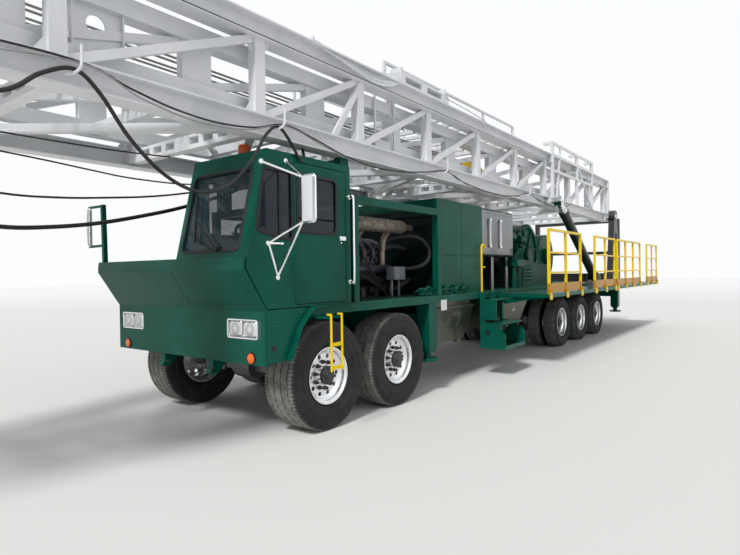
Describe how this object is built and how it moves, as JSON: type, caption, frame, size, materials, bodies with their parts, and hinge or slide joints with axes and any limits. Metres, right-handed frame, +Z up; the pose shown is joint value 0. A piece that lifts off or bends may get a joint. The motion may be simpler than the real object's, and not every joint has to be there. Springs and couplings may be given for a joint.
{
  "type": "workover rig",
  "caption": "Self-propelled well workover rig: half-cab multi-axle carrier with engine bay, tanks, drawworks, side platforms and a telescoping lattice mast laid over it.",
  "frame": {"origin": "middle of the rig's footprint on the ground, with the mast laid down", "axes": "+X forward to the cab and crown, +Y to the rig's left, +Z up"},
  "size_m": [20.01, 4.204, 4.49],
  "materials": {
    "green_paint": "gloss enamel",
    "running_gear_steel": "dusty paint",
    "tyre_rubber": "dusty rubber, aluminium wheels on the twin wheels",
    "rim_aluminium": "polished",
    "cab_glass": "tinted",
    "cab_trim": "matt vinyl and plastic",
    "lamp_lens": "clear and amber lenses",
    "chrome_trim": "bright",
    "yellow_paint": "enamel",
    "box_aluminium": "brushed",
    "engine_paint": "dark enamel",
    "exhaust_steel": "heat-stained",
    "stainless_tank": "brushed, dusty",
    "drum_steel": "black paint",
    "white_paint": "satin enamel",
    "rod_chrome": "hard chrome"
  },
  "bodies": {
    "carrier": {"chassis_frame": "green_paint", "front_axles": "running_gear_steel", "rear_axles": "running_gear_steel", "nose": "green_paint", "cab_shell": "green_paint", "cab_glass": "cab_glass", "cab_interior": "cab_trim", "lamps": "lamp_lens", "mirrors": "chrome_trim", "decks": "green_paint", "wings": "green_paint", "handrails": "yellow_paint", "stairs": "green_paint", "toolboxes": "box_aluminium", "engine": "engine_paint", "exhaust": "exhaust_steel", "bay_frame": "green_paint", "cooler": "green_paint", "fluid_tank": "stainless_tank", "drawworks": "green_paint", "mast_support": "drum_steel"},
    "knuckle_1l": {"knuckle_1l": "running_gear_steel"},
    "front_wheel_1l": {"tyre_1l": "tyre_rubber", "rim_1l": "rim_aluminium"},
    "knuckle_1r": {"knuckle_1r": "running_gear_steel"},
    "front_wheel_1r": {"tyre_1r": "tyre_rubber", "rim_1r": "rim_aluminium"},
    "knuckle_2l": {"knuckle_2l": "running_gear_steel"},
    "front_wheel_2l": {"tyre_2l": "tyre_rubber", "rim_2l": "rim_aluminium"},
    "knuckle_2r": {"knuckle_2r": "running_gear_steel"},
    "front_wheel_2r": {"tyre_2r": "tyre_rubber", "rim_2r": "rim_aluminium"},
    "twin_wheel_3l": {"wheel_3l": "tyre_rubber"},
    "twin_wheel_3r": {"wheel_3r": "tyre_rubber"},
    "twin_wheel_4l": {"wheel_4l": "tyre_rubber"},
    "twin_wheel_4r": {"wheel_4r": "tyre_rubber"},
    "twin_wheel_5l": {"wheel_5l": "tyre_rubber"},
    "twin_wheel_5r": {"wheel_5r": "tyre_rubber"},
    "door": {"cab_door": "green_paint", "door_glass": "cab_glass"},
    "hoist_drum": {"drum": "drum_steel"},
    "mast": {"mast_left": "white_paint", "mast_right": "white_paint", "mast_back": "white_paint"},
    "upper_mast": {"upper_left": "white_paint", "upper_right": "white_paint", "upper_back": "white_paint", "crown": "white_paint"},
    "hook_block": {"travelling_block": "yellow_paint"},
    "board": {"tubing_board": "white_paint"},
    "ram_barrels": {"raise_barrels": "drum_steel"},
    "ram_stages": {"raise_stages": "rod_chrome"},
    "ram_rods": {"raise_rods": "rod_chrome"}
  },
  "joints": [
    {"name": "steer_1l", "type": "hinge", "parent": "carrier", "child": "knuckle_1l", "pos_m": [3.6, 0.8, 0.575], "axis": [0, 0, 1], "range_deg": [-30, 30]},
    {"name": "spin_1l", "type": "hinge", "parent": "knuckle_1l", "child": "front_wheel_1l", "pos_m": [3.6, 1.085, 0.575], "axis": [0, 1, 0], "continuous": true},
    {"name": "steer_1r", "type": "hinge", "parent": "carrier", "child": "knuckle_1r", "pos_m": [3.6, -0.8, 0.575], "axis": [0, 0, 1], "range_deg": [-30, 30]},
    {"name": "spin_1r", "type": "hinge", "parent": "knuckle_1r", "child": "front_wheel_1r", "pos_m": [3.6, -1.085, 0.575], "axis": [0, 1, 0], "continuous": true},
    {"name": "steer_2l", "type": "hinge", "parent": "carrier", "child": "knuckle_2l", "pos_m": [2.3, 0.8, 0.575], "axis": [0, 0, 1], "range_deg": [-24, 24]},
    {"name": "spin_2l", "type": "hinge", "parent": "knuckle_2l", "child": "front_wheel_2l", "pos_m": [2.3, 1.085, 0.575], "axis": [0, 1, 0], "continuous": true},
    {"name": "steer_2r", "type": "hinge", "parent": "carrier", "child": "knuckle_2r", "pos_m": [2.3, -0.8, 0.575], "axis": [0, 0, 1], "range_deg": [-24, 24]},
    {"name": "spin_2r", "type": "hinge", "parent": "knuckle_2r", "child": "front_wheel_2r", "pos_m": [2.3, -1.085, 0.575], "axis": [0, 1, 0], "continuous": true},
    {"name": "spin_3l", "type": "hinge", "parent": "carrier", "child": "twin_wheel_3l", "pos_m": [-4.05, 0.9425, 0.528], "axis": [0, 1, 0], "continuous": true},
    {"name": "spin_3r", "type": "hinge", "parent": "carrier", "child": "twin_wheel_3r", "pos_m": [-4.05, -0.9425, 0.528], "axis": [0, 1, 0], "continuous": true},
    {"name": "spin_4l", "type": "hinge", "parent": "carrier", "child": "twin_wheel_4l", "pos_m": [-5.42, 0.9425, 0.528], "axis": [0, 1, 0], "continuous": true},
    {"name": "spin_4r", "type": "hinge", "parent": "carrier", "child": "twin_wheel_4r", "pos_m": [-5.42, -0.9425, 0.528], "axis": [0, 1, 0], "continuous": true},
    {"name": "spin_5l", "type": "hinge", "parent": "carrier", "child": "twin_wheel_5l", "pos_m": [-6.79, 0.9425, 0.528], "axis": [0, 1, 0], "continuous": true},
    {"name": "spin_5r", "type": "hinge", "parent": "carrier", "child": "twin_wheel_5r", "pos_m": [-6.79, -0.9425, 0.528], "axis": [0, 1, 0], "continuous": true},
    {"name": "door_hinge", "type": "hinge", "parent": "carrier", "child": "door", "pos_m": [4.11, 1.303, 2], "axis": [0, 0, -1], "range_deg": [0, 80]},
    {"name": "drum_spin", "type": "hinge", "parent": "carrier", "child": "hoist_drum", "pos_m": [-2.85, 0, 2.02], "axis": [0, 1, 0], "continuous": true},
    {"name": "mast_raise", "type": "hinge", "parent": "carrier", "child": "mast", "pos_m": [-7.85, 0, 3.06], "axis": [0, -1, 0], "range_deg": [0, 93.5]},
    {"name": "mast_extend", "type": "slide", "parent": "mast", "child": "upper_mast", "axis": [1, 0, 0], "range_m": [0, 11.2]},
    {"name": "block_travel", "type": "slide", "parent": "upper_mast", "child": "hook_block", "axis": [1, 0, 0], "range_m": [0, 10]},
    {"name": "board_fold", "type": "hinge", "parent": "upper_mast", "child": "board", "pos_m": [-2.9, 0, 4.16], "axis": [0, -1, 0], "range_deg": [0, 90]},
    {"name": "ram_turn", "type": "hinge", "parent": "carrier", "child": "ram_barrels", "pos_m": [-5.8, 0, 1.5], "axis": [0, -1, 0], "range_deg": [0, 78.97]},
    {"name": "ram_stage", "type": "slide", "parent": "ram_barrels", "child": "ram_stages", "axis": [0.8484, 0, 0.5294], "range_m": [0, 1.7938]},
    {"name": "ram_rod", "type": "slide", "parent": "ram_stages", "child": "ram_rods", "axis": [0.8484, 0, 0.5294], "range_m": [0, 1.7938]}
  ],
  "couplings": [
    {"joint": "steer_1r", "follows": "steer_1l", "ratio": 1},
    {"joint": "steer_2l", "follows": "steer_1l", "ratio": 0.8},
    {"joint": "steer_2r", "follows": "steer_1l", "ratio": 0.8},
    {"joint": "ram_turn", "follows": "mast_raise", "ratio": 0.84404},
    {"joint": "ram_stage", "follows": "mast_raise", "m_per_rad": 1.098},
    {"joint": "ram_rod", "follows": "mast_raise", "m_per_rad": 1.098}
  ]
}
